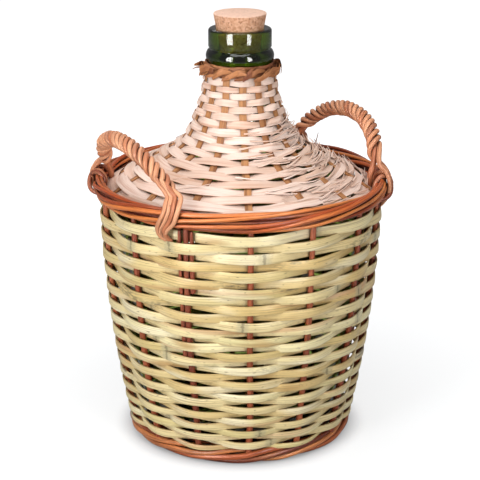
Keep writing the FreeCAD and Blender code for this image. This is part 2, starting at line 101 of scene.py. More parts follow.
class Profile:
    """A line of (radius, height) points that a surface of weaving follows, walked by distance."""

    def __init__(self, points, outward):
        self.points = smooth_line([Vector((radius, 0, height)) for radius, height in points])
        self.outward = outward
        self.distances = [0.0]
        for one, other in zip(self.points, self.points[1:]):
            self.distances.append(self.distances[-1] + (other - one).length)
        self.length = self.distances[-1]

    def at(self, distance):
        """Place and outward normal at a distance; past an end the line runs on straight."""
        index = 0
        while index < len(self.distances) - 2 and self.distances[index + 1] < distance:
            index += 1
        one, other = self.points[index], self.points[index + 1]
        heading = (other - one).normalized()
        place = one + heading * (distance - self.distances[index])
        normal = Vector((heading.z, 0, -heading.x)) * self.outward
        return place, normal


# %% [markdown]
# The wall swells a little on its way from the foot to the rim. The shoulder cover starts at the neck,
# falls steeply, flares, and runs out over the shoulder until it dives behind the rim.

# %% The two curved surfaces of the basket
wall_bottom, wall_top = 11.3, 197.6
foot_radius, rim_radius, wall_swell = 89.2, 111.0, 4.2


def wall_radius(height):
    """Radius of the ring of stakes at a height."""
    share = (height - wall_bottom) / (wall_top - wall_bottom)
    return foot_radius + (rim_radius - foot_radius) * share + 4 * wall_swell * share * (1 - share)


wall = Profile([(wall_radius(z), z) for z in (11.3, 48.6, 85.8, 123.1, 160.3, 197.6)], 1)
cover = Profile(
    [(28.3, 291.7), (30.1, 280.6), (34.5, 267.2), (39.6, 254.1), (46.4, 243.1), (54.9, 237.2),
     (76.9, 224.2), (98.8, 211.3), (105.0, 206.9)],
    -1,
)
print("wall %.0f mm and cover %.0f mm along the weave" % (wall.length, cover.length))

# %% [markdown]
# Every piece ends the same way: its mesh is scaled to metres, gets a finish, rides on a body of the frame
# and replaces its node. Edges that turn by more than fifty degrees stay sharp, so flat strips have crisp
# edges and round rods stay round.

# %% Turn a finished mesh into a piece
def add_object(bm, name, finish):
    """Makes an object with one finish from a mesh, and puts it in the scene."""
    mesh = bpy.data.meshes.new(name)
    bm.to_mesh(mesh)
    bm.free()
    mesh.materials.append(finish)
    thing = bpy.data.objects.new(name, mesh)
    scene.collection.objects.link(thing)
    return thing


def make_piece(bm, name, finish, nodes, body="basket_and_bottle"):
    """Makes a piece from a mesh in millimetres, on its body and in place of its nodes."""
    bmesh.ops.recalc_face_normals(bm, faces=bm.faces)
    bmesh.ops.transform(bm, matrix=to_metres, verts=bm.verts)
    thing = add_object(bm, name, finish)
    thing.data.shade_smooth()
    thing.data.set_sharp_from_angle(angle=math.radians(50))
    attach(thing, body)
    if nodes:
        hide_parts(*nodes)
    print(name, len(thing.data.polygons), "faces")


# %% [markdown]
# A finish is a small tree of nodes. These helpers add a node and join its inputs, calculate, mix colours,
# make a soft step of a value, and lay tints where patterns are strong. Patterns on wood read the piece's own
# UV map: U is the distance along the fibres in metres, and V the distance across them.

# %% Helpers for finishes
def seen(red, green, blue):
    """A colour given as it looks on a screen, from 0 to 255."""
    return [*((value / 255) ** 2.2 for value in (red, green, blue)), 1.0]


def add(tree, kind, values=None, **settings):
    """Adds a shader node with its properties, and gives its inputs values or joins them."""
    node = tree.nodes.new("ShaderNode" + kind)
    for name, value in settings.items():
        setattr(node, name, value)
    for name, value in (values or {}).items():
        if isinstance(value, bpy.types.NodeSocket):
            tree.links.new(value, node.inputs[name])
        else:
            node.inputs[name].default_value = value
    return node


def calculate(tree, operation, *values):
    """The result of a sum, product or other operation."""
    return add(tree, "Math", dict(enumerate(values)), operation=operation).outputs[0]


def blend(tree, share, one, other):
    """The first colour turned into the second by a share."""
    return add(tree, "MixRGB", {"Fac": share, "Color1": one, "Color2": other}).outputs[0]


def step_between(tree, value, low, high, start=0.0, end=1.0):
    """A smooth step from start to end while the value goes from low to high."""
    values = {"Value": value, "From Min": low, "From Max": high, "To Min": start, "To Max": end}
    return add(tree, "MapRange", values, interpolation_type="SMOOTHSTEP").outputs[0]


def stain(tree, colour, *tints):
    """A colour with tints over it, each from nothing at its pattern's low to most of it at high."""
    for tint, pattern, low, high, most in tints:
        colour = blend(tree, step_between(tree, pattern, low, high, 0, most), colour, tint)
    return colour


def speckle(tree, where, scale, detail, rough=0.5):
    """Noise from 0 to 1, mostly near one half, with its scale in spots a metre."""
    values = {"Vector": where, "Scale": scale, "Detail": detail, "Roughness": rough}
    return add(tree, "TexNoise", values).outputs["Fac"]


def grain(tree, along, across, detail=2.0, rough=0.5):
    """Noise that follows the fibres, with so many spots a metre along them and across."""
    where = add(tree, "TexCoord").outputs["UV"]
    spot = add(tree, "Mapping", {"Vector": where, "Scale": (along, across, 1.0)}).outputs[0]
    return speckle(tree, spot, 1.0, detail, rough)


def mark(tree, name):
    """What the mesh code wrote on a strip or rod: its tone, or how near a strip's edge a point lies."""
    return add(tree, "Attribute", attribute_name=name).outputs["Fac"]


def new_finish(name, roughness, coat=0.0):
    material = bpy.data.materials.new(name)
    material.use_nodes = True
    shader = material.node_tree.nodes["Principled BSDF"]
    shader.inputs["Roughness"].default_value = roughness
    shader.inputs["Coat Weight"].default_value = coat
    shader.inputs["Coat Roughness"].default_value = 0.25
    return material, material.node_tree, shader


def dress(tree, shader, colour, height, depth):
    """Gives the shader a colour, and a bump from a height map with its depth in millimetres."""
    if colour:
        tree.links.new(colour, shader.inputs["Base Color"])
    bump = add(tree, "Bump", {"Height": height, "Distance": depth * 0.001, "Strength": 1.0})
    tree.links.new(bump.outputs[0], shader.inputs["Normal"])


# %% [markdown]
# The hollows under each crossing and between the rods get painted shade: the occlusion node finds them within
# five millimetres and darkens the colour there.

# %% Painted shade in hollows
hollow_reach = 0.005


def painted_hollow_shade(tree, colour, dark, most=0.8):
    """A colour with painted shade where other surfaces stand close in front of it."""
    openness = add(tree, "AmbientOcclusion", {"Distance": hollow_reach}, samples=3).outputs["AO"]
    return stain(tree, colour, (dark, openness, 0.72, 0.2, most))


# %% [markdown]
# Split cane is the straw-coloured weaver of the wall: long fine fibres, slow changes from pale straw to tan,
# dark flecks and scuffs, and about three times in a metre a joint, a dark line in a paler band. A cell
# pattern along U alone scatters the joints unevenly, as cutting and joining canes does.

# %% Finish of the split cane
joints_a_metre = 3.4


def cane_finish():
    material, tree, shader = new_finish("split_cane", 0.42, 0.12)
    fibres = grain(tree, 22, 1500, 3)
    clouds = grain(tree, 14, 60)
    long_clouds = grain(tree, 3.2, 8, 1)
    flecks = grain(tree, 190, 620, 3, 0.65)
    scuffs = grain(tree, 9, 40)
    blush = grain(tree, 5, 90)
    colour = blend(tree, mark(tree, "tone"), seen(226, 194, 128), seen(255, 240, 186))
    colour = stain(
        tree, colour,
        (seen(222, 208, 140), long_clouds, 0.5, 0.66, 0.55),
        (seen(255, 244, 208), clouds, 0.5, 0.68, 0.7),
        (seen(196, 156, 98), clouds, 0.44, 0.28, 0.85),
        (seen(206, 150, 108), blush, 0.56, 0.7, 0.6),
        (seen(162, 132, 84), fibres, 0.48, 0.68, 0.6),
        (seen(126, 98, 62), flecks, 0.6, 0.72, 0.75),
        # The edge tint is a browner cut edge with painted shade where neighbouring strips meet.
        (seen(150, 116, 68), mark(tree, "edge"), 0.86, 1.0, 0.6),
    )
    scuffed = step_between(tree, scuffs, 0.58, 0.7)
    flecked = step_between(tree, flecks, 0.42, 0.58)
    colour = blend(tree, calculate(tree, "MULTIPLY", scuffed, flecked), colour, seen(112, 96, 70))
    where = add(tree, "TexCoord").outputs["UV"]
    length = add(tree, "SeparateXYZ", {"Vector": where}).outputs[0]
    cells = calculate(tree, "MULTIPLY", length, joints_a_metre)
    joints = add(tree, "TexVoronoi", {"W": cells, "Scale": 1.0}, voronoi_dimensions="1D")
    ragged = calculate(tree, "MULTIPLY_ADD", flecks, 0.02, -0.01)
    joint = calculate(tree, "ADD", joints.outputs["Distance"], ragged)
    band = step_between(tree, joint, 0.022, 0.008)
    line = step_between(tree, joint, 0.005, 0.001)
    colour = blend(tree, calculate(tree, "MULTIPLY", band, 0.55), colour, seen(186, 176, 140))
    colour = blend(tree, calculate(tree, "MULTIPLY", line, 0.55), colour, seen(96, 84, 62))
    # Painted shade under the crossings and behind the stakes.
    colour = painted_hollow_shade(tree, colour, seen(92, 66, 40))
    dress(tree, shader, colour, calculate(tree, "ADD", fibres, band), 0.12)
    return material


cane = cane_finish()
print("split cane:", len(cane.node_tree.nodes), "nodes")

# %% [markdown]
# The brown stakes, orange-red rim, tan handles and weathered foot are all willow, so one function makes
# them, with other colours. Bark streaks run along the rod, and small dark scars are scattered over it.

# %% Finish of the willow rods
def willow_finish(name, dark, mid, light, roughness=0.45):
    material, tree, shader = new_finish(name, roughness, 0.15)
    streaks = grain(tree, 26, 700, 3, 0.6)
    patches = grain(tree, 11, 60)
    scars = grain(tree, 420, 260, 3, 0.65)
    tone = mark(tree, "tone")
    colour = stain(
        tree, dark,
        (mid, tone, 0.0, 0.5, 1.0),
        (light, tone, 0.5, 1.0, 1.0),
        (light, patches, 0.5, 0.7, 0.55),
        (dark, patches, 0.46, 0.3, 0.6),
        (dark, streaks, 0.48, 0.68, 0.65),
        (dark, scars, 0.64, 0.74, 0.6),
    )
    # Painted shade in the creases between rods.
    colour = painted_hollow_shade(tree, colour, seen(48, 18, 10), 0.85)
    dress(tree, shader, colour, calculate(tree, "ADD", streaks, scars), 0.3)
    return material


stake_willow = willow_finish("brown_willow", seen(96, 40, 22), seen(154, 74, 44), seen(190, 106, 68))
rim_willow = willow_finish("orange_willow", seen(84, 30, 14), seen(190, 84, 34), seen(232, 138, 72))
handle_willow = willow_finish("tan_willow", seen(128, 60, 36), seen(212, 134, 92), seen(236, 170, 128), 0.5)
foot_willow = willow_finish("foot_willow", seen(100, 42, 22), seen(176, 88, 48), seen(220, 140, 84))

# %% [markdown]
# Chip strips are planed from pale poplar, almost white with faint pink and fine straight pores. The splints
# under them and the collar are rawer brown wood: the same pores and bands in darker tones.

# %% Finish of the chip strips, splints and collar
def planed_finish(name, dark, light, streak):
    material, tree, shader = new_finish(name, 0.62)
    pores = grain(tree, 30, 1900, 3, 0.6)
    bands = grain(tree, 9, 260)
    patches = grain(tree, 16, 50, 1)
    colour = blend(tree, mark(tree, "tone"), dark, light)
    colour = stain(
        tree, colour,
        (light, patches, 0.42, 0.62, 0.5),
        (streak, bands, 0.5, 0.68, 0.6),
        (streak, pores, 0.5, 0.7, 0.6),
        # The edge tint is a browner cut edge with painted shade where neighbouring strips meet.
        (streak, mark(tree, "edge"), 0.88, 1.0, 0.55),
    )
    # Painted shade in the creases between strips and splints.
    colour = painted_hollow_shade(tree, colour, seen(96, 58, 36), 0.7)
    dress(tree, shader, colour, pores, 0.08)
    return material


chip = planed_finish("pale_chip", seen(228, 190, 166), seen(252, 228, 214), seen(206, 152, 120))
splint_wood = planed_finish("splint_wood", seen(158, 102, 60), seen(200, 142, 92), seen(104, 58, 30))
collar_wood = planed_finish("collar_wood", seen(106, 52, 26), seen(218, 148, 94), seen(84, 36, 16))

# %% [markdown]
# ## Weaving
# A woven strip is a ring that passes outside one stake and inside the next. A small section is spun once
# round the axis, and each point of that plain ring is laid on the curved profile: swung out and in with a
# crest at every second stake, and shifted a little so that no two strips are alike.

# %% Weave one strip
steps_between_stakes = 14
squaring = -0.7
worn_side = math.radians(305)


def spin_round(bm, section, steps):
    """Spins a section once round the upright axis."""
    bmesh.ops.spin(
        bm, geom=section, cent=(0, 0, 0), axis=(0, 0, 1), dvec=(0, 0, 0),
        angle=full_turn, steps=steps, use_merge=True, use_duplicate=False,
    )


def grain_layers(bm):
    """The UV map and the tone of a strip or rod."""
    return bm.loops.layers.uv.new("UVMap"), bm.verts.layers.float.new("tone")


def weave_strip(
    profile, centre, width, thickness, swing, side, seed, tone,
    tilt=0.0, spread=0.13, slack=0.35, crown=0.3, worn=0.0,
):
    """A closed strip on a profile. Side 1 passes outside the even stakes, and -1 inside them.

    It bends by its swing, is wider in front by its spread, strays by its slack and is rounded by its crown.
    """
    bm = bmesh.new()
    upright = Matrix.Translation((1, 0, 0)) @ Matrix.Rotation(math.pi / 2, 4, "X")
    section = bmesh.ops.create_circle(bm, segments=12, radius=0.1, matrix=upright)["verts"]
    spin_round(bm, section + bm.edges[:], stake_count * steps_between_stakes)
    uv, tones = grain_layers(bm)
    edges = bm.verts.layers.float.new("edge")
    turns, offsets = {}, {}
    for vert in bm.verts:
        turn = math.atan2(vert.co.y, vert.co.x) % full_turn
        # Both offsets run from -1 to 1 on the section, and a power squares its corners.
        depth = (math.hypot(vert.co.x, vert.co.y) - 1) * 10
        across = vert.co.z * 10
        across *= max(abs(across), 1e-6) ** squaring
        depth *= max(abs(depth), 1e-6) ** squaring
        wave = side * math.cos((turn - first_stake) * stake_count / 2)
        # Slow noises that close after a turn make the strip stray, swell and lean.
        round_x, round_y = math.cos(turn) * 2.4, math.sin(turn) * 2.4
        drift = noise.noise(Vector((round_x, round_y, seed * 3.7)))
        swell = noise.noise(Vector((round_x * 1.7, round_y * 1.7, seed * 5.3 + 40)))
        lean = noise.noise(Vector((round_x * 2.2, round_y * 2.2, seed * 2.1 + 90)))
        # Wear makes it narrower and all of this stronger.
        wear = worn * max(0.0, math.cos(turn - worn_side)) ** 3
        lean *= 1 + 3 * wear
        wide = width * (1 + spread * wave + (0.16 + 0.6 * wear) * swell - 0.28 * wear)
        off_middle = across * wide / 2
        place, normal = profile.at(centre + off_middle + drift * slack * 2)
        bulge = crown * (1 - across * across) if depth > 0 else 0.0
        lift = depth * thickness / 2 + bulge + swing * wave + off_middle * (tilt + 0.2 * lean)
        spot = place + normal * lift
        vert.co = ring_point(spot.x, turn, spot.z)
        vert[tones] = tone
        vert[edges] = abs(across)
        turns[vert.index], offsets[vert.index] = turn, across
    radius = profile.at(centre)[0].x
    for face in bm.faces:
        around = [turns[loop.vert.index] for loop in face.loops]
        seam = max(around) - min(around) > math.pi
        for loop, turn in zip(face.loops, around):
            turn += full_turn if seam and turn < math.pi else 0
            loop[uv].uv = (turn * radius / 1000 + seed * 1.37, offsets[loop.vert.index] * width / 2000)
    return bm


def join(target, other):
    """Moves one mesh into another."""
    data = bpy.data.meshes.new("joined")
    other.to_mesh(data)
    other.free()
    target.from_mesh(data)
    bpy.data.meshes.remove(data)


def spread_rows(length, count, growth):
    """Edges of rows that grow evenly, so that the last is growth times the first."""
    first = length / (count * (1 + growth) / 2)
    edges = [0.0]
    for index in range(count):
        edges.append(edges[-1] + first * (1 + (growth - 1) * index / (count - 1)))
    return edges


# %% [markdown]
# The wall has thirty rows, narrower below, where the canes are pressed down hard. A strip is a little wider
# where it passes in front, and overlaps its neighbours slightly. The lowest row starts higher, where the
# foot border ends.

# %% Weave the wall
chance = random.Random(11)
pick = chance.uniform
wall_rows, wall_growth, wall_overlap = 30, 1.45, 1.09
above_foot = 1.4
wall_edges = spread_rows(wall.length, wall_rows, wall_growth)
for row in range(wall_rows):
    low_edge = wall_edges[row] + (above_foot if row == 0 else 0.0)
    high_edge = wall_edges[row + 1]
    strip = weave_strip(
        wall, (low_edge + high_edge) / 2, (high_edge - low_edge) * wall_overlap, thickness=1.2, swing=3.3,
        side=1 if row % 2 == 0 else -1, seed=row + 1, tone=pick(0.0, 1.0),
        tilt=-0.06, spread=0.05, slack=0.75, crown=0.18,
    )
    make_piece(strip, "cane_%02d" % (row + 1), cane, ["wall_strip_%02d" % (row + 1)])
print("wall rows from %.1f to %.1f mm high" % (wall_edges[1], wall_edges[-1] - wall_edges[-2]))

# %% [markdown]
# The cover's chip strips are thinner and lie closer. On the slope each one leans on the strip below it like
# a roof slate, by its tilt. One strip more than the frame has runs down behind the rim, and another goes up
# under the collar, in the top row's piece.

# %% Weave the cover
cover_rows, cover_growth = 17, 1.75
chip_thickness, chip_swing = 0.8, 1.3
cover_edges = spread_rows(cover.length - 7.6, cover_rows, cover_growth)
cover_edges.append(cover.length + 2)
for row in range(cover_rows + 1):
    low_edge, high_edge = cover_edges[row], cover_edges[row + 1]
    steep = row / cover_rows
    strip = weave_strip(
        cover, (low_edge + high_edge) / 2, (high_edge - low_edge) * (1.0 + 0.2 * steep), chip_thickness,
        chip_swing, side=1 if row % 2 == 0 else -1, seed=row + 41, tone=pick(0.0, 1.0),
        tilt=0.05 + 0.05 * steep, spread=0.03, slack=0.3 + 0.4 * steep, crown=0.08, worn=min(1.0, row / 8),
    )
    if row == 0:
        join(strip, weave_strip(
            cover, -3.6, 7.0, chip_thickness, chip_swing, side=-1, seed=40, tone=0.7, spread=0.03, crown=0.08,
        ))
    node = "cover_strip_%02d" % min(row + 1, cover_rows)
    make_piece(strip, "chip_%02d" % (row + 1), chip, [node])
print("cover rows from %.1f to %.1f mm" % (cover_edges[1], cover_edges[17] - cover_edges[16]))

# %% [markdown]
# ## Rods and splints
# A rod is a grid rolled up into a tube round its path, and a splint the same grid laid flat and given a
# thickness. Both get a UV map along the fibres and a tone of their own.

# %% Roll a rod, lay a splint
rod_sides = 10


def heading_at(path, index):
    """The direction of a path at one of its points."""
    return (path[min(index + 1, len(path) - 1)] - path[max(index - 1, 0)]).normalized()


def path_frames(path, side=None):
    """Each point of a path with two steady sideways directions."""
    frames = []
    for index, place in enumerate(path):
        heading = heading_at(path, index)
        if side is None:
            side = heading.orthogonal()
        side = (side - heading * side.dot(heading)).normalized()
        frames.append((place, side, heading.cross(side)))
    return frames


def path_lengths(path):
    lengths = [0.0]
    for one, other in zip(path, path[1:]):
        lengths.append(lengths[-1] + (other - one).length)
    return lengths


def lay_grain(bm, uv, places):
    for face in bm.faces:
        for loop in face.loops:
            loop[uv].uv = places[loop.vert.index]


def add_rod(target, path, radius, tone, seed, tip=0.6, both_ends=False):
    """Adds a round rod along a path. The tip is its thickness at the end, as a share of the full one."""
    frames, lengths = path_frames(path), path_lengths(path)
    rings = len(path)
    bm = bmesh.new()
    bmesh.ops.create_grid(bm, x_segments=rings + 1, y_segments=rod_sides, size=0.5)
    columns = sorted({round(vert.co.x, 5) for vert in bm.verts})
    uv, tones = grain_layers(bm)
    places = {}
    for vert in bm.verts:
        # The first and the last column are drawn together, which closes the rod.
        column = min(range(len(columns)), key=lambda index: abs(columns[index] - vert.co.x))
        ring = min(max(column - 1, 0), rings - 1)
        closed = column in (0, len(columns) - 1)
        turn = (vert.co.y + 0.5) * full_turn
        share = lengths[ring] / lengths[-1]
        slimmer = abs(2 * share - 1) ** 2 if both_ends else share
        thick = radius * (1 - (1 - tip) * slimmer) * (1 + wander(lengths[ring] * 0.05, seed, 0.06))
        place, side, across = frames[ring]
        reach = 0.0 if closed else thick
        # V is the way round the rod in metres.
        places[vert.index] = (lengths[ring] / 1000 + seed * 0.73, (vert.co.y + 0.5) * radius * 0.00628)
        vert.co = place + (side * math.cos(turn) + across * math.sin(turn)) * reach
        vert[tones] = tone
    lay_grain(bm, uv, places)
    bmesh.ops.remove_doubles(bm, verts=bm.verts, dist=0.001)
    bmesh.ops.recalc_face_normals(bm, faces=bm.faces)
    join(target, bm)


def add_splint(target, path, out, width, thickness, tone, seed, tip=1.0, tip_start=0.8):
    """Adds a flat strip along a path. Out gives the outward direction at a point."""
    lengths = path_lengths(path)
    last = len(path) - 1
    bm = bmesh.new()
    bmesh.ops.create_grid(bm, x_segments=last, y_segments=3, size=0.5)
    uv, tones = grain_layers(bm)
    places = {}
    for vert in bm.verts:
        index = round((vert.co.x + 0.5) * last)
        place = path[index]
        outward = out(place)
        sideways = heading_at(path, index).cross(outward).normalized()
        share = lengths[index] / lengths[-1]
        wide = width * (1 - (1 - tip) * max(0.0, share - tip_start) / (1 - tip_start + 1e-6))
        places[vert.index] = (lengths[index] / 1000 + seed * 0.73, vert.co.y * width / 1000)
        # The middle stands a little higher than the edges.
        vert.co = place + sideways * (vert.co.y * wide) + outward * (0.35 - abs(vert.co.y) * 0.8)
        vert[tones] = tone
    lay_grain(bm, uv, places)
    bmesh.ops.solidify(bm, geom=bm.faces, thickness=thickness)
    bmesh.ops.recalc_face_normals(bm, faces=bm.faces)
    join(target, bm)


# %% [markdown]
# Stakes are thicker willow rods, one at each crossing. Beside the four stakes at the handles' roots shorter
# rods are pushed down into the weave to hold the handles, a long one on one side and a short one on the
# other.

# %% Stakes and side rods
def upright_path(angle, low, high, sideways, seed):
    points = []
    for step in range(17):
        height = low + (high - low) * step / 16
        shift = sideways + wander(height * 0.012, seed, 0.8)
        points.append(ring_point(wall_radius(height), angle + shift / wall_radius(height), height))
    return points


stakes = bmesh.new()
for index in range(stake_count):
    path = upright_path(stake_turn(index), 10, 201, 0, index)
    add_rod(stakes, path, 2.6, pick(0.2, 0.9), index, tip=0.85)
make_piece(stakes, "willow_stakes", stake_willow, ["wall_stakes"])

side_rods = bmesh.new()
root_stake = stake_angle * 1.5
beside_stake = 4.9
for handle_turn in (0, math.pi):
    for side in (-1, 1):
        for toward, length in ((-side, 108), (side, 48)):
            angle = handle_turn + side * root_stake
            path = upright_path(angle, wall_top - length, 199, toward * beside_stake, length + side)
            add_rod(side_rods, path, 2.2, pick(0.3, 0.8), length + side * 3 + handle_turn)
make_piece(side_rods, "root_side_rods", stake_willow, ["handle_root_side_rods"])

# %% [markdown]
# ## Rolled borders
# At the rim and the foot the stakes' ends are bent over and laid round each other. Each rises on the
# outside, crosses the top and goes down on the inside while it passes several stakes. So fourteen rods, one
# from each stake, turn round the section as they go along. Four plain rods fill the rim's middle, and two
# thin twig ends stand up from it at the back.

# %% Rim and foot
def add_border(
    target, radius, height, half_width, half_height, rod, span, start, end, seed, tones, loose, lowest=0,
):
    """Rods laid round each other. Span counts stakes; start and end are degrees round the section."""
    for index in range(stake_count):
        points = []
        for step in range(41):
            share = step / 40
            angle = stake_turn(index + span * share)
            turn = math.radians(start + (end - start) * share) + wander(share * 5, seed + index, 2.2 * loose)
            out = 1 + wander(share * 6 + 30, seed + index, loose)
            reach = radius + half_width * out * math.cos(turn)
            level = height + half_height * out * math.sin(turn)
            points.append(ring_point(reach, angle, max(level, lowest)))
        add_rod(target, points, rod * pick(0.82, 1.1), pick(*tones), seed + index, 0.7)


rim = bmesh.new()
add_border(rim, 113.3, 207.9, 3.5, 5.8, rod=2.0, span=7.0, start=-105, end=235, seed=100,
           tones=(0.0, 1.0), loose=0.2)
core_rods = ((113.3, 204.6), (113.3, 208.0), (113.3, 211.4), (110.4, 203.6))
for reach, level in core_rods:
    core = []
    for step in range(121):
        core.append(ring_point(reach + wander(step * 0.2, level, 0.4), step * math.pi / 60, level))
    add_rod(rim, core, 1.9, pick(0.0, 0.3), level, 1.0)
for turn, top, lean in ((0.435, 224.0, 3.0), (0.445, 219.0, -2.0)):
    twig = [ring_point(113.5, 0.44, 211.0), ring_point(114.5, 0.438, 216.0)]
    twig.append(ring_point(114.5 + lean, turn, top))
    add_rod(rim, smooth_line(twig, 4), 0.6, 0.0, top, 0.4)
make_piece(rim, "rim_border", rim_willow, ["rim_rods"])
foot = bmesh.new()
add_border(foot, 87.6, 7.2, 3.2, 4.3, rod=2.7, span=4.6, start=-120, end=210, seed=150,
           tones=(0.0, 0.9), loose=0.16, lowest=2.7)
make_piece(foot, "foot_border", foot_willow, ["foot_rods"])

# %% [markdown]
# ## Base
# Under the bottle seven sticks cross each other, and thin rounds are woven above them, in the same way as
# the wall's strips.

# %% Base
stick_radius, stick_spacing, base_radius = 2.1, 30.0, 80.2
base = bmesh.new()
for count, level, along, across in ((4, 3.2, Vector((1, 0, 0)), Vector((0, 1, 0))),
                                    (3, 7.5, Vector((0, 1, 0)), Vector((1, 0, 0)))):
    for index in range(count):
        off = (index - (count - 1) / 2) * stick_spacing
        half = math.sqrt(base_radius ** 2 - (abs(off) + stick_radius) ** 2)
        path = [across * off + along * (half * step / 6) + Vector((0, 0, level)) for step in range(-6, 7)]
        add_rod(base, path, stick_radius, pick(0.2, 0.9), 200 + index + count, 0.95)
base_line = Profile([(6, 10.6), (40, 10.6), (80, 10.6)], 1)
for row in range(17):
    ring = weave_strip(
        base_line, 2.5 + row * 4.25, width=4.0, thickness=1.6, swing=0.5, side=1 if row % 2 else -1,
        seed=row + 70, tone=pick(0.2, 0.9), slack=0.1,
    )
    join(base, ring)
make_piece(base, "base_weave", foot_willow, ["base_sticks_and_mat"])

# %% [markdown]
# ## Shoulder splints and collar
# Fourteen flat splints run down the shoulder from the neck and show as brown squares between the chip
# strips. They follow the cover's own line, so they lie inside the weave.

# %% Splints
def outward_from_cover(place):
    reach = math.hypot(place.x, place.y)
    line = [cover.at(cover.length * step / 40) for step in range(41)]
    normal = min(line, key=lambda spot: (spot[0].x - reach) ** 2 + (spot[0].z - place.z) ** 2)[1]
    return ring_point(normal.x, math.atan2(place.y, place.x), normal.z)


under_collar = 6
splints = bmesh.new()
for index in range(stake_count):
    path = []
    for step in range(41):
        place = cover.at((cover.length + under_collar) * step / 40 - under_collar)[0]
        path.append(ring_point(place.x, stake_turn(index) + wander(step * 0.1, 300 + index, 0.02), place.z))
    add_splint(splints, path, outward_from_cover, 5.6, 1.1, pick(0.1, 1.0), 300 + index)
make_piece(splints, "cover_splints", splint_wood, ["shoulder_splints"])

# %% [markdown]
# Planed chips fray: thin fibres lift off their edges, most of them on the worn side of the cover. Each is a
# very narrow splint with a fine tip.

# %% Frayed fibres
fibre_count = 170
frayed = bmesh.new()
for index in range(fibre_count):
    along = cover.length * pick(0.25, 0.97)
    turn = chance.gauss(worn_side, 0.5) if index % 5 else pick(0, full_turn)
    reach, rise, lift = pick(9, 28), pick(-0.3, 0.3), pick(0.4, 3.8)
    points = []
    for step in range(5):
        place, normal = cover.at(along + rise * reach * step / 4)
        spot = place + normal * (1.7 + lift * (step / 4) ** 2)
        points.append(ring_point(spot.x, turn + reach / place.x * step / 4, spot.z))
    out = ring_point(normal.x, turn, normal.z)
    width, tone = pick(0.5, 1.8), pick(0, 1)
    add_splint(frayed, smooth_line(points, 2), lambda spot: out, width, 0.3, tone, 400 + index, 0.3, 0.3)
make_piece(frayed, "frayed_fibres", chip, [])

# %% [markdown]
# The collar is the splints' ends, folded over sideways and tucked behind each other. The folds lie over
# three thin woven rounds: a layer to one side, one to the other, then broad leaves and pointed ends. A fold
# is a list of points with turn, radius and height.

# %% Collar
def straight_out(place):
    return Vector((place.x, place.y, 0)).normalized()


neck_line = Profile([(26.9, 291.0), (27.2, 298.0), (26.6, 306.0)], 1)
over_fold = ((-0.1, 28.0, 297.4), (0.04, 30.4, 299.0), (0.22, 32.0, 302.0), (0.36, 31.6, 304.2),
             (0.55, 29.8, 303.6), (0.7, 28.6, 301.0))
under_fold = ((0.1, 27.6, 304.4), (-0.05, 29.4, 304.4), (-0.24, 30.4, 301.8), (-0.42, 31.4, 299.4),
              (-0.6, 31.4, 298.0))
leaf_fold = ((0.42, 28.6, 304.6), (0.3, 31.2, 305.0), (0.2, 32.4, 303.2), (0.11, 32.8, 300.8),
             (0.04, 33.0, 298.2))
spike_fold = ((-0.3, 28.8, 300.6), (-0.15, 30.8, 303.0), (0.04, 32.6, 304.0), (0.14, 34.8, 304.8))


def add_collar_splints(target, fold, seed, width, indexes, loose):
    """Lays the same fold at several stakes, each time a little differently."""
    for index in indexes:
        angle = stake_turn(index) + pick(-0.07, 0.07)
        lift = pick(-0.8, 0.8)
        points = [ring_point(radius, angle + turn, height + lift) for turn, radius, height in fold]
        points[-1] += Vector((0, 0, pick(-loose, loose)))
        points[-1] += straight_out(points[-1]) * pick(-0.5, loose * 0.6)
        path, tone = smooth_line(points, 5), pick(0, 1)
        add_splint(target, path, straight_out, width, 1.0, tone, seed + index, tip=0.2, tip_start=0.6)


collar = bmesh.new()
for row, middle in enumerate((8.6, 11.4, 14.0)):
    ring = weave_strip(
        neck_line, middle, width=3.6, thickness=1.0, swing=0.7, side=1 if row % 2 else -1, seed=row + 95,
        tone=pick(0.0, 0.2),
    )
    join(collar, ring)
add_collar_splints(collar, over_fold, 320, 2.9, range(stake_count), 1.0)
add_collar_splints(collar, under_fold, 340, 2.6, range(stake_count), 1.4)
add_collar_splints(collar, leaf_fold, 360, 4.2, range(0, stake_count, 3), 1.0)
add_collar_splints(collar, spike_fold, 380, 3.2, range(1, stake_count, 2), 2.0)
spur = [ring_point(31.0, 2.66, 302.0), ring_point(34.5, 2.64, 301.6), ring_point(37.5, 2.62, 300.0)]
add_rod(collar, smooth_line(spur, 4), 0.7, 0.0, 399, 0.3)
make_piece(collar, "plaited_collar", collar_wood, ["neck_collar"])

# %% [markdown]
# ## Handles
# Each handle has a bent rod as its core, with both legs tucked down inside the wall. It leans outwards at
# the top, so its middle line is half an ellipse with a lean.

# %% The arch of a handle
arch_spring, arch_rise, arch_lean = 215.4, 39.4, 18.5
leg_x, leg_y = 86.93, 57.9
leg_angle = math.atan2(leg_y, leg_x)
arch_steps = 100
arch = []
for step in range(arch_steps + 1):
    turn = math.pi * step / arch_steps
    rise = math.sin(turn)
    height = arch_spring + arch_rise * rise
    arch.append(Vector((leg_x + arch_lean * rise, -leg_y * math.cos(turn), height)))
arch_lengths = path_lengths(arch)
frames_on_arch = path_frames(arch, Vector((math.cos(leg_angle), -math.sin(leg_angle), 0)))
print("arch %.0f mm long" % arch_lengths[-1])


def on_arch(distance):
    index = 0
    while index < arch_steps - 1 and arch_lengths[index + 1] < distance:
        index += 1
    share = (distance - arch_lengths[index]) / (arch_lengths[index + 1] - arch_lengths[index])
    one, other = frames_on_arch[index], frames_on_arch[index + 1]
    return [a * (1 - share) + b * share for a, b in zip(one, other)]


# %% [markdown]
# Four thinner rods wind round the core like the strands of a rope. At each root they leave it, come down
# over the rim and are tucked in under it. The winding is a helix round the arch, and the tails are a few
# points more on the same line. Short rods bind three of the four roots.

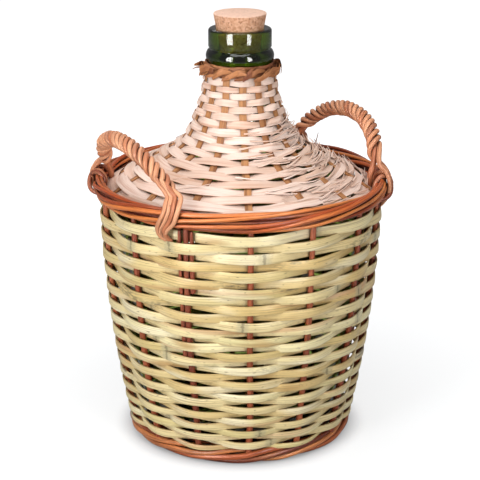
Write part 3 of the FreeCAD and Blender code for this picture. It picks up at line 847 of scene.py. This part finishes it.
# %% The way of a strand
strand_radius, strand_ring = 2.25, 4.35
strand_spacing = 3.7
turns_round = 5
first_lift = 9.0
first_turn, turn_step = 0.3, 0.45
winding = full_turn * turns_round + 1.5 * math.pi - 2 * first_turn
lead = full_turn * (arch_lengths[-1] - 2 * first_lift) / winding
lift_step = (math.pi / 2 - turn_step) * lead / full_turn
print("the strands advance %.1f mm a turn" % lead)
tail_top, tail_reach = 225.0, 119
tail_line = ((1.0, 111.6, 225.0), (1.0, 116.6, 220.5), (1.0, 119.4, 214.0), (0.95, 119.7, 206.5),
             (0.75, 117.8, 200.0), (0.5, 114.8, 194.0), (0.25, 110.8, 189.0))


def tail_points(leg, place, sway, loose):
    """A strand's way from beside the rope over the rim to its tucked end. Sway moves it along the rim."""
    points = []
    for (apart, radius, height), shift in zip(tail_line, sway):
        out = loose * math.sin(math.pi * (tail_top - height) / 40)
        out += wander(height * 0.11, place * 3 + leg, 0.5)
        shift += wander(height * 0.09, place * 5 + leg + 9, 1.1)
        angle = leg + (place * strand_spacing * apart + shift) / tail_reach
        points.append(ring_point(radius + out, angle, height))
    return points


def strand_path(strand, first, last, seed):
    """One strand from its first tail over the arch to its last; first and last describe the roots."""
    other = 3 - strand
    start = first_lift + strand * lift_step
    finish = arch_lengths[-1] - first_lift - other * lift_step
    steps = turns_round * 12
    helix = []
    for step in range(steps + 1):
        distance = start + (finish - start) * step / steps
        turn = first_turn - turn_step * strand + full_turn * (distance - start) / lead
        turn += wander(distance * 0.06, seed, 0.16)
        place, side, across = on_arch(distance)
        ring = strand_ring * (1 + wander(distance * 0.08 + 20, seed, 0.07))
        helix.append(place + side * (ring * math.cos(turn)) + across * (ring * math.sin(turn)))
    tail = tail_points(-leg_angle, 1.5 - strand, first[0], first[1][strand])
    head = tail_points(leg_angle, 1.5 - other, last[0], last[1][other])
    return smooth_line(list(reversed(tail)) + helix[2:-2] + head, 3)


binding_line = ((108.6, 205.0, -1.6), (109.8, 212.6, -1.4), (114.2, 216.4, -1.0), (119.2, 214.2, -0.4),
                (121.6, 207.6, 0.4), (120.0, 201.4, 1.0), (114.0, 198.6, 1.5))


def add_binding(target, leg, lean, tone, seed):
    """A short rod that crosses a handle's root slantwise and holds the tails down on the rim."""
    points = []
    for radius, height, place in binding_line:
        points.append(ring_point(radius + wander(height * 0.3, seed, 0.6), leg + place * lean, height))
    add_rod(target, smooth_line(points, 5), 2.1, tone, seed, 0.8)


# %% [markdown]
# A root is the sway of its tails along the rim, one value for each point, and how loosely each of its
# strands hangs. Both handles are made over +X, and the left one is turned round.

# %% Wind the handles
straight_sway = (0, 0.5, 1, 1, 0.5, 0, 0)
claw_sway = (0, 2, 1.5, -2, -6.5, -7.5, -4)
slant_sway = (0, -2, -4, -5, -4, -2, 0)
roots = {
    "right": ((slant_sway, (0.2, 0.0, 0.4, 0.8)), (straight_sway, (0.2, 0.6, 0.0, 0.5))),
    "left": ((slant_sway, (0.2, 0.5, 0.6, 0.8)), (claw_sway, (0.3, 0.0, 0.0, 0.4))),
}
three_bindings = ((-leg_angle, -0.09), (-leg_angle, 0.07), (-leg_angle, -0.05))
bindings = {"right": three_bindings + ((leg_angle, 0.06),), "left": three_bindings}
for name, turn in (("right", 0.0), ("left", math.pi)):
    half_turn = Matrix.Rotation(turn, 4, "Z")
    bow = bmesh.new()
    leg = [ring_point(wall_radius(z) - 6.55, -leg_angle, z) for z in (160, 180, 197.6)]
    other_leg = [Vector((point.x, -point.y, point.z)) for point in reversed(leg)]
    core = smooth_line(leg + arch[::5] + other_leg, 2)
    add_rod(bow, core, 2.25, 0.3, 340 + turn, 0.95)
    bmesh.ops.transform(bow, matrix=half_turn, verts=bow.verts)
    make_piece(bow, "bow_" + name, handle_willow, ["handle_bow_" + name])
    rope = bmesh.new()
    for strand in range(4):
        path = strand_path(strand, *roots[name], 350 + strand + turn)
        tone = pick(0.3, 0.95)
        add_rod(rope, path, strand_radius, tone, 360 + strand + turn, 0.7, both_ends=True)
    for index, (place, lean) in enumerate(bindings[name]):
        add_binding(rope, place, lean, 0.05 + 0.15 * index, 370 + index + turn)
    bmesh.ops.transform(rope, matrix=half_turn, verts=rope.verts)
    make_piece(rope, "rope_" + name, handle_willow, ["handle_wrap_" + name])

# %% [markdown]
# ## Glass and cork
# The bottle is one closed outline, inside and outside, spun round its axis. The lip has a soft edge, a
# groove under it and a round ring below. From the neck down it follows the cover and the wall a few
# millimetres further in.

# %% Glass outline
mouth = 333.0
lip_radius, lip_edge = 25.0, 2.0
glass_wall = 3.5
behind_cover, behind_wall = 2.4, 9.1


def rounded(centre_r, centre_z, radius, start, end, steps=6):
    points = []
    for step in range(steps + 1):
        turn = math.radians(start + (end - start) * step / steps)
        points.append((centre_r + radius * math.cos(turn), centre_z + radius * math.sin(turn)))
    return points


def body_line(inset, floor):
    """The bottle below its neck, from the neck down to the axis, set in from the outside."""
    points = []
    for step in range(1, 15):
        place, normal = cover.at(cover.length * 0.66 * step / 14)
        spot = place - normal * (behind_cover + inset)
        points.append((spot.x, spot.z))
    points += [(97.2 - inset, 188.5 - inset * 0.6), (99.3 - inset, 180.0), (99.9 - inset, 171.6)]
    for height in (150, 120, 90, 60, floor + 20):
        points.append((wall_radius(height) - behind_wall - inset, height))
    edge = wall_radius(floor + 20) - behind_wall - inset
    points += [(edge - 3.4, floor + 8.5), (edge - 8.0, floor + 3.0)]
    points += [(66.0, floor), (33.0, floor + 4.5), (0.0, floor + 6)]
    line = smooth_line([Vector((radius, 0, height)) for radius, height in points], 3)
    return [(max(point.x, 0.0), point.z) for point in line]


outline = [(17.6, 318.0), (18.9, mouth - 0.4)] + rounded(19.9, mouth - 1.0, 1.0, 160, 90, 3)
outline += rounded(lip_radius - lip_edge, mouth - lip_edge, lip_edge, 90, 0)
outline += rounded(24.4, 319.0, 0.6, 0, -70, 3) + [(24.1, 317.6)]
for share in range(11):
    outline.append((24.1 + 2.9 * math.sin(math.pi * share / 10) ** 0.62, 317.0 - 11.0 * share / 10))
outline += [(24.4, 305.0), (24.5, 296.0)] + body_line(0.0, 11.7)
inner = [(17.5, 317.0), (17.5, 296.0)] + body_line(glass_wall, 16.7)
print("glass outline of", len(outline) + len(inner), "points")

# %% [markdown]
# Green glass gets its depth of colour from the light's way through it: the surface stays clear and an
# absorbing volume tints what passes, so the thick lip comes out darkest. A slow ripple bends the reflections
# slightly, as on blown glass.

# %% Spin the glass
def spin_outline(points):
    bm = bmesh.new()
    verts = [bm.verts.new((max(radius, 0.0), 0, height)) for radius, height in points]
    edges = [bm.edges.new(pair) for pair in zip(verts, verts[1:])]
    spin_round(bm, verts + edges, 96)
    bmesh.ops.remove_doubles(bm, verts=bm.verts, dist=0.001)
    return bm


green, tree, shader = new_finish("green_glass", 0.03)
shader.inputs["Base Color"].default_value = (0.93, 1.0, 0.9, 1)
shader.inputs["Transmission Weight"].default_value = 1.0
shader.inputs["IOR"].default_value = 1.52
where = add(tree, "TexCoord").outputs["Object"]
ripple = speckle(tree, where, 40.0, 0.0)
dress(tree, shader, None, ripple, 0.02)
inside = add(tree, "VolumeAbsorption", {"Color": (0.47, 0.54, 0.05, 1), "Density": 350.0})
tree.links.new(inside.outputs[0], tree.nodes["Material Output"].inputs["Volume"])
bottle = spin_outline(list(reversed(inner)) + outline)
make_piece(bottle, "glass_bottle", green, ["glass_demijohn"])

# %% [markdown]
# The stopper is a tapered plug of pressed cork with eased rims. Its grains are Voronoi cells in slightly
# different browns with dark pits over them, and its top face is paler. It is the one piece that moves, so it
# rides on the stopper's body.

# %% Cork
def cork_finish():
    material, tree, shader = new_finish("cork", 0.85)
    where = add(tree, "TexCoord").outputs["Object"]
    grains = add(tree, "TexVoronoi", {"Vector": where, "Scale": 700.0})
    tint = add(tree, "SeparateColor", {"Color": grains.outputs["Color"]}).outputs[0]
    fine = speckle(tree, where, 900.0, 4.0)
    pits = speckle(tree, where, 480.0, 3.0)
    colour = blend(tree, tint, seen(198, 140, 104), seen(234, 186, 154))
    colour = stain(
        tree, colour,
        (seen(196, 136, 102), fine, 0.5, 0.72, 0.5),
        (seen(150, 92, 62), pits, 0.58, 0.66, 0.75),
    )
    level = add(tree, "SeparateXYZ", {"Vector": where}).outputs[2]
    colour = stain(tree, colour, (seen(255, 218, 198), level, 0.3436, 0.3449, 0.6))
    dress(tree, shader, colour, calculate(tree, "SUBTRACT", fine, pits), 0.35)
    return material


plug = bmesh.new()
middle = Matrix.Translation((0, 0, 330.0))
bmesh.ops.create_cone(
    plug, cap_ends=True, segments=64, radius1=15.49, radius2=21.0, depth=30.0, matrix=middle,
)
rims = [edge for edge in plug.edges if abs(edge.verts[0].co.z - edge.verts[1].co.z) < 0.01]
bmesh.ops.bevel(
    plug, geom=rims, offset=1.0, offset_type="OFFSET", segments=3, profile=0.5, affect="EDGES", material=-1,
)
make_piece(plug, "cork", cork_finish(), ["cork_stopper"], "stopper")

# %% [markdown]
# ## Studio
# The part stands on a plain pale floor. Floor and backdrop are white where the camera sees them, directly or
# through glass, because they add a little light of their own there only. The floor adds none under the foot
# and less just outside it, which paints a soft shadow round the foot, and it adds most far away.

# %% Floor
def empty_tree(holder):
    """The node tree of a material or world, with nothing in it."""
    holder.use_nodes = True
    holder.node_tree.nodes.clear()
    return holder.node_tree


def white_where_seen(tree, strength, mirrored):
    """A strength that the camera meets in full, and a reflection in part; other light meets nothing."""
    rays = add(tree, "LightPath").outputs
    seen_ray = calculate(tree, "MAXIMUM", rays["Is Camera Ray"], rays["Is Transmission Ray"])
    glossy = calculate(tree, "MULTIPLY", rays["Is Glossy Ray"], mirrored)
    return calculate(tree, "MULTIPLY", calculate(tree, "MAXIMUM", seen_ray, glossy), strength)


paper = bpy.data.materials.new("paper")
tree = empty_tree(paper)
matte = add(tree, "BsdfDiffuse", {"Color": (0.33, 0.34, 0.35, 1)})
where = add(tree, "TexCoord").outputs["Object"]
distance = add(tree, "VectorMath", {0: where}, operation="LENGTH").outputs["Value"]
# Painted shadow: no glow under the foot, rising to full just outside it.
glow_past_painted_shadow = step_between(tree, distance, 0.074, 0.108, 0.0, 0.73)
far_glow = step_between(tree, distance, 0.11, 0.7, 0.0, 0.24)
glow_here = calculate(tree, "ADD", glow_past_painted_shadow, far_glow)
glow = add(tree, "Emission", {"Strength": white_where_seen(tree, glow_here, 0.2)})
both = add(tree, "AddShader", {0: matte.outputs[0], 1: glow.outputs[0]})
add(tree, "OutputMaterial", {"Surface": both.outputs[0]})
floor_mesh = bmesh.new()
bmesh.ops.create_grid(floor_mesh, x_segments=1, y_segments=1, size=9.0)
floor = add_object(floor_mesh, "floor", paper)
print("floor", "%.0f m wide" % floor.dimensions.x)

# %% [markdown]
# The world gives a faint even light from all sides, and shows as white behind everything.

# %% World
world = bpy.data.worlds.new("studio")
scene.world = world
tree = empty_tree(world)
strength = calculate(tree, "ADD", white_where_seen(tree, 0.78, 0.08), 0.22)
backdrop = add(tree, "Background", {"Color": (1, 1, 1, 1), "Strength": strength})
add(tree, "OutputWorld", {"Surface": backdrop.outputs[0]})

# %% [markdown]
# Two tall soft lamps stand in front, the left one stronger, a wide one above, and a weak one high behind.
# Glass shows the shape of its lamps: the two upright highlights on the lip mirror tall diffuser sheets, so
# each front lamp has one behind it that only reflections meet.

# %% Lamps and their sheets
sheet_light = bpy.data.materials.new("diffuser_sheet")
tree = empty_tree(sheet_light)
shine = add(tree, "Emission", {"Color": (1, 1, 1, 1), "Strength": 12.0})
unseen = add(tree, "BsdfTransparent")
mirrored = add(tree, "LightPath").outputs["Is Glossy Ray"]
mix = add(tree, "MixShader", {0: mirrored, 1: unseen.outputs[0], 2: shine.outputs[0]})
add(tree, "OutputMaterial", {"Surface": mix.outputs[0]})
sheet_light.cycles.emission_sampling = "NONE"


def area_lamp(name, angle, distance, height, size, power, aim):
    """A soft lamp at an angle round the part that looks at a height on its axis."""
    lamp = bpy.data.lights.new(name, "AREA")
    lamp.shape = "RECTANGLE"
    lamp.size, lamp.size_y = size
    lamp.energy = power
    place = ring_point(distance, math.radians(angle), height)
    thing = bpy.data.objects.new(name, lamp)
    thing.location = place
    thing.rotation_euler = (Vector((0, 0, aim)) - place).to_track_quat("-Z", "Y").to_euler()
    scene.collection.objects.link(thing)


def diffuser_sheet(name, angle, distance, width, height):
    """An upright sheet that faces the part, from just above the floor upwards."""
    bm = bmesh.new()
    bmesh.ops.create_grid(bm, x_segments=1, y_segments=1, size=0.5)
    middle = Matrix.Translation((distance, 0, height / 2 + 0.02))
    upright = Matrix.Rotation(math.radians(angle), 4, "Z") @ middle
    turned = Matrix.Rotation(math.pi / 2, 4, "Y") @ Matrix.Diagonal((height, width, 1, 1))
    bmesh.ops.transform(bm, matrix=upright @ turned, verts=bm.verts)
    add_object(bm, name, sheet_light)


area_lamp("key_lamp", 203, 1.0, 0.5, (0.30, 0.9), power=7.0, aim=0.45)
area_lamp("fill_lamp", 272, 1.0, 0.5, (0.20, 0.9), power=3.4, aim=0.45)
area_lamp("top_lamp", 230, 0.4, 1.6, (1.0, 1.0), power=11.0, aim=0.2)
area_lamp("back_lamp", 80, 1.0, 1.2, (0.7, 0.7), power=3.0, aim=0.2)
diffuser_sheet("key_sheet", 203, 1.15, width=0.46, height=1.3)
diffuser_sheet("fill_sheet", 273, 1.15, width=0.30, height=1.3)
print(len(bpy.data.lights), "lamps")

# %% [markdown]
# The camera was fitted to the photograph: a long lens about 1.2 m away, higher than the cork and turned down
# by 18 degrees, with a handle at the left front and one at the right back.

# %% Camera
lens = bpy.data.cameras.new("camera")
lens.lens = 117.70
lens.sensor_width = 36.0
camera = bpy.data.objects.new("camera", lens)
camera.location = (-0.6092, -1.0552, 0.5588)
camera.rotation_euler = (math.radians(71.792), 0, math.radians(-30))
scene.collection.objects.link(camera)
scene.camera = camera
scene.view_settings.view_transform = "Standard"
print("lens of %.0f mm" % lens.lens)
